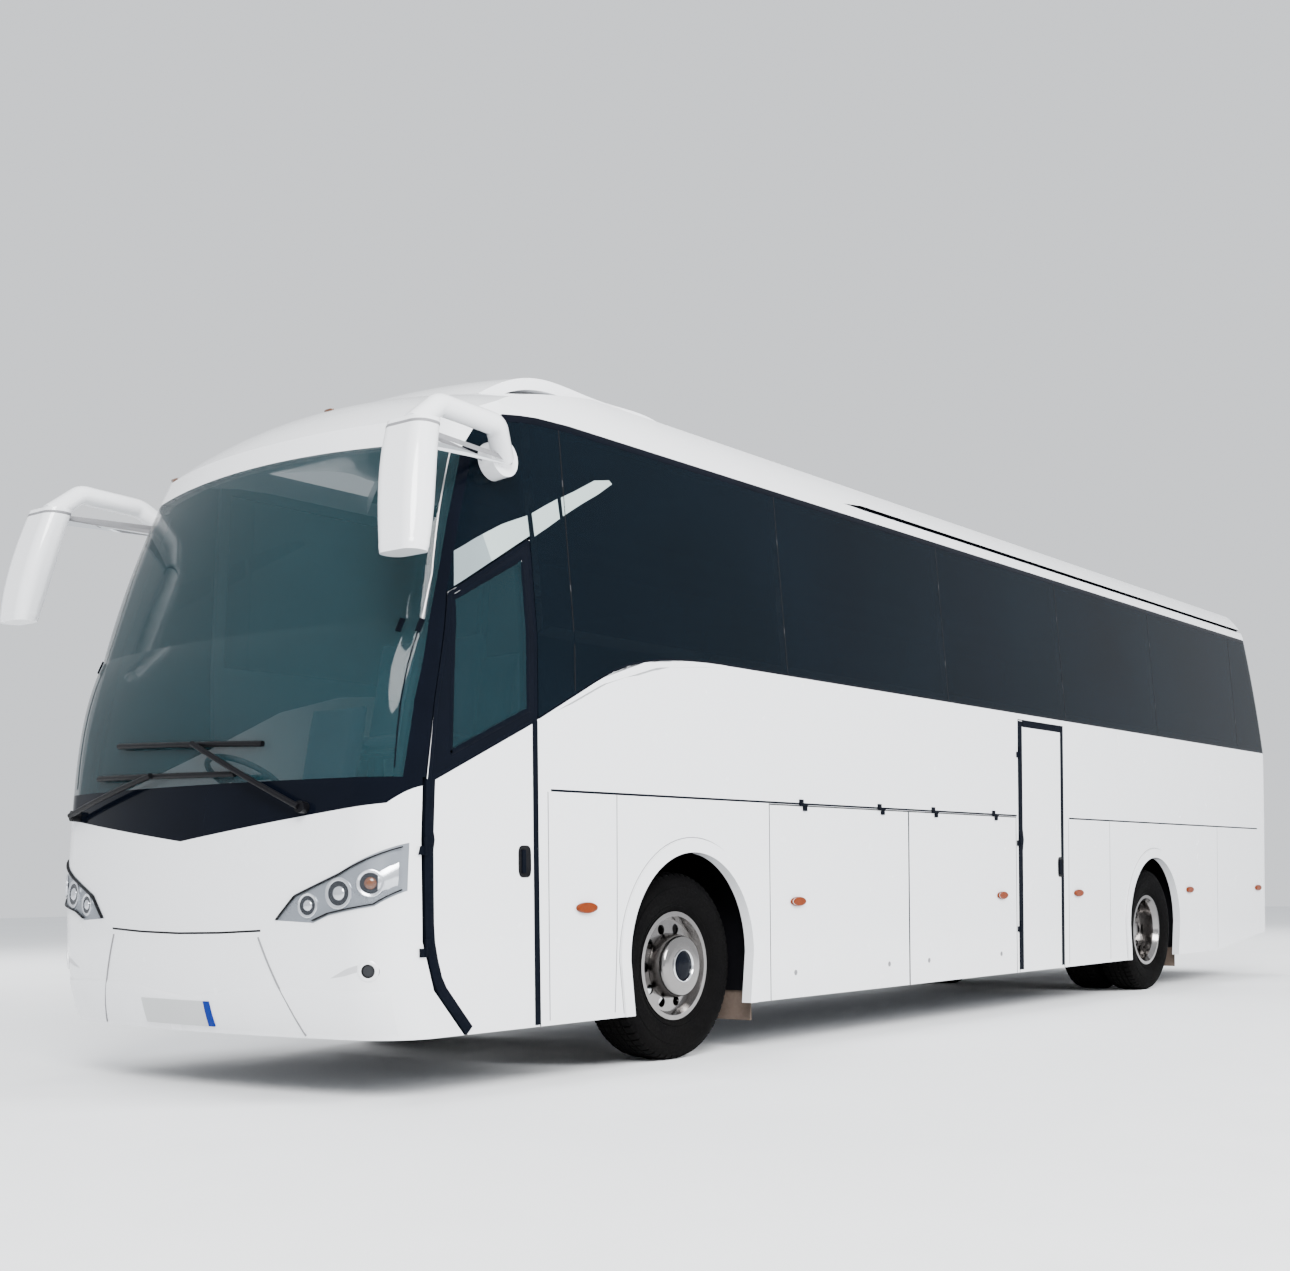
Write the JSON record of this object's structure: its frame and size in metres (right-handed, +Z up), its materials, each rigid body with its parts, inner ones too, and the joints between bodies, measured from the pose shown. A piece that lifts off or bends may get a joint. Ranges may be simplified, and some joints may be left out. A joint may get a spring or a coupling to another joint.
{
  "type": "coach bus",
  "caption": "Full-size white touring coach with hollow cabin, wrap-round windscreen, dark glass band, hinged doors, lifting luggage flaps, steered front wheels and twin rear wheels.",
  "frame": {"origin": "on the ground, midway along the coach and on its centre plane", "axes": "+X forward, +Y to the side with the passenger doors, +Z up"},
  "size_m": [12.2922, 3.1726, 3.6599],
  "materials": {
    "body_white": "glossy white coachwork paint",
    "dark_glass": "dark tinted side glass",
    "windscreen_glass": "green-tinted laminated glass",
    "black_trim": "satin black moulding",
    "lamp_clear": "clear lens over a silver housing",
    "lamp_amber": "amber lens",
    "lamp_red": "red lens",
    "chassis_steel": "black chassis paint",
    "engine_iron": "cast iron",
    "floor_grey": "grey floor covering",
    "tyre_rubber": "black tyre rubber",
    "mud_rubber": "dusty brown rubber",
    "polished_rim": "polished forged alloy",
    "seat_fabric": "blue-grey seat fabric"
  },
  "bodies": {
    "coach_body": {"bay_floor": "floor_grey", "bulkheads": "chassis_steel", "bumper_centre": "body_white", "chassis_rails": "chassis_steel", "crossmembers": "chassis_steel", "dashboard": "black_trim", "driver_seat": "seat_fabric", "engine_block": "engine_iron", "entry_steps": "floor_grey", "floor_deck": "floor_grey", "fog_lamps": "lamp_clear", "front_axle": "chassis_steel", "front_cowl": "black_trim", "front_mask": "body_white", "front_posts": "black_trim", "headlamps": "lamp_clear", "marker_lamps": "lamp_amber", "mid_steps": "floor_grey", "mirror_left": "body_white", "mirror_right": "body_white", "mud_flaps": "mud_rubber", "passenger_seats": "seat_fabric", "rear_axle": "chassis_steel", "rear_wall": "body_white", "rear_window": "dark_glass", "roof_cove_left": "body_white", "roof_cove_right": "body_white", "roof_fairing": "body_white", "roof_shell": "body_white", "side_glass_left": "dark_glass", "side_glass_right": "dark_glass", "side_wall_left": "body_white", "side_wall_right": "body_white", "steering_wheel": "black_trim", "tail_lamps": "lamp_red", "wheel_houses": "black_trim", "window_frames": "black_trim", "windscreen": "windscreen_glass", "wipers": "black_trim"},
    "front_knuckle_left": {"knuckle_left": "chassis_steel"},
    "front_knuckle_right": {"knuckle_right": "chassis_steel"},
    "front_wheel_left": {"tyre_front_left": "tyre_rubber", "rim_front_left": "polished_rim"},
    "front_wheel_right": {"tyre_front_right": "tyre_rubber", "rim_front_right": "polished_rim"},
    "rear_wheels_left": {"tyres_rear_left": "tyre_rubber", "rims_rear_left": "polished_rim"},
    "rear_wheels_right": {"tyres_rear_right": "tyre_rubber", "rims_rear_right": "polished_rim"},
    "front_door": {"door_front": "body_white", "door_front_glass": "windscreen_glass"},
    "mid_door": {"door_mid": "body_white"},
    "luggage_left_1": {"luggage_flap_left_1": "body_white"},
    "luggage_left_2": {"luggage_flap_left_2": "body_white"},
    "luggage_right_1": {"luggage_flap_right_1": "body_white"},
    "luggage_right_2": {"luggage_flap_right_2": "body_white"},
    "luggage_right_3": {"luggage_flap_right_3": "body_white"},
    "engine_cover": {"engine_lid": "body_white"}
  },
  "joints": [
    {"name": "steer_left", "type": "hinge", "parent": "coach_body", "child": "front_knuckle_left", "pos_m": [3.715, 0.86, 0.515], "axis": [0, 0, 1], "range_deg": [-40, 40]},
    {"name": "steer_right", "type": "hinge", "parent": "coach_body", "child": "front_knuckle_right", "pos_m": [3.715, -0.86, 0.515], "axis": [0, 0, 1], "range_deg": [-40, 40]},
    {"name": "front_wheel_left_spin", "type": "hinge", "parent": "front_knuckle_left", "child": "front_wheel_left", "pos_m": [3.715, 1.03, 0.515], "axis": [0, 1, 0], "continuous": true},
    {"name": "front_wheel_right_spin", "type": "hinge", "parent": "front_knuckle_right", "child": "front_wheel_right", "pos_m": [3.715, -1.03, 0.515], "axis": [0, 1, 0], "continuous": true},
    {"name": "rear_wheels_left_spin", "type": "hinge", "parent": "coach_body", "child": "rear_wheels_left", "pos_m": [-2.985, 0.9, 0.515], "axis": [0, 1, 0], "continuous": true},
    {"name": "rear_wheels_right_spin", "type": "hinge", "parent": "coach_body", "child": "rear_wheels_right", "pos_m": [-2.985, -0.9, 0.515], "axis": [0, 1, 0], "continuous": true},
    {"name": "front_door_swing", "type": "hinge", "parent": "coach_body", "child": "front_door", "pos_m": [5.755, 1.284, 1.2], "axis": [0, 0, -1], "range_deg": [0, 90]},
    {"name": "mid_door_swing", "type": "hinge", "parent": "coach_body", "child": "mid_door", "pos_m": [-0.336, 1.284, 1.2], "axis": [0, 0, -1], "range_deg": [0, 90]},
    {"name": "luggage_left_1_lift", "type": "hinge", "parent": "coach_body", "child": "luggage_left_1", "pos_m": [2.14, 1.284, 1.424], "axis": [1, 0, 0], "range_deg": [0, 95]},
    {"name": "luggage_left_2_lift", "type": "hinge", "parent": "coach_body", "child": "luggage_left_2", "pos_m": [0.51, 1.284, 1.424], "axis": [1, 0, 0], "range_deg": [0, 95]},
    {"name": "luggage_right_1_lift", "type": "hinge", "parent": "coach_body", "child": "luggage_right_1", "pos_m": [2.14, -1.284, 1.424], "axis": [-1, 0, 0], "range_deg": [0, 95]},
    {"name": "luggage_right_2_lift", "type": "hinge", "parent": "coach_body", "child": "luggage_right_2", "pos_m": [0.51, -1.284, 1.424], "axis": [-1, 0, 0], "range_deg": [0, 95]},
    {"name": "luggage_right_3_lift", "type": "hinge", "parent": "coach_body", "child": "luggage_right_3", "pos_m": [-1.159, -1.284, 1.424], "axis": [-1, 0, 0], "range_deg": [0, 95]},
    {"name": "engine_cover_lift", "type": "hinge", "parent": "coach_body", "child": "engine_cover", "pos_m": [-6.135, 0, 1.9], "axis": [0, 1, 0], "range_deg": [0, 80]}
  ],
  "couplings": [
    {"joint": "steer_right", "follows": "steer_left", "ratio": 1}
  ]
}
